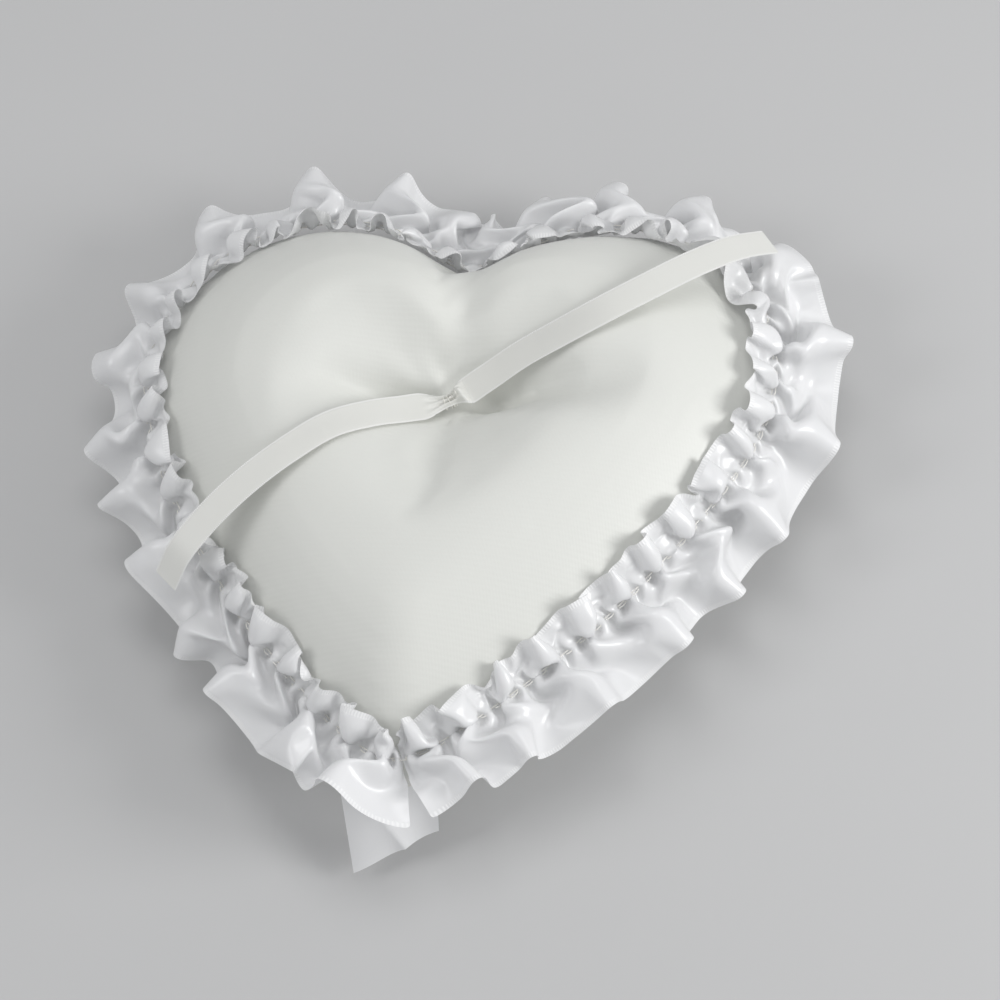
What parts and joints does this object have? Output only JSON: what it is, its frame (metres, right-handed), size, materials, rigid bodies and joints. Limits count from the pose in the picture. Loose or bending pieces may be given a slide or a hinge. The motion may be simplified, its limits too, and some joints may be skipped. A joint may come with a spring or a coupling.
{
  "type": "ring bearer pillow",
  "caption": "Heart-shaped tufted satin cushion with a gathered ribbon ruffle round its edge and a narrow ring ribbon with loose tails tacked at its middle.",
  "frame": {"origin": "under the middle of the ruffle, on the surface that the pillow lies on", "axes": "+Z out of the front panel, +Y towards the two lobes, -Y towards the tip, +X towards the right lobe"},
  "size_m": [0.2542, 0.2352, 0.0571],
  "materials": {
    "satin": "dull ivory satin",
    "filling": "loose polyester fibre",
    "thread": "ivory sewing thread",
    "ruffle_satin": "glossy white satin ribbon",
    "ribbon_satin": "ivory satin ribbon"
  },
  "bodies": {
    "pillow": {"front_panel": "satin", "back_panel": "satin", "fibre_filling": "filling", "perimeter_seam_thread": "thread", "closing_stitches": "thread", "ruffle_ribbon": "ruffle_satin", "gathering_thread": "thread", "gathering_knots": "thread", "ruffle_stitches": "thread", "ring_ribbon_centre": "ribbon_satin", "centre_tack_stitches": "thread", "tuft_thread": "thread", "back_knot": "thread"},
    "upper_tail": {"ring_ribbon_upper_tail": "ribbon_satin"},
    "lower_tail": {"ring_ribbon_lower_tail": "ribbon_satin"}
  },
  "joints": [
    {"name": "upper_tail_lift", "type": "hinge", "parent": "pillow", "child": "upper_tail", "pos_m": [0.00721, 0.0287, 0.0446], "axis": [0.5402, -0.8415, 0], "range_deg": [0, 70]},
    {"name": "lower_tail_lift", "type": "hinge", "parent": "pillow", "child": "lower_tail", "pos_m": [-0.00103, 0.02304, 0.0434], "axis": [-0.592, 0.8059, 0], "range_deg": [0, 70]}
  ]
}
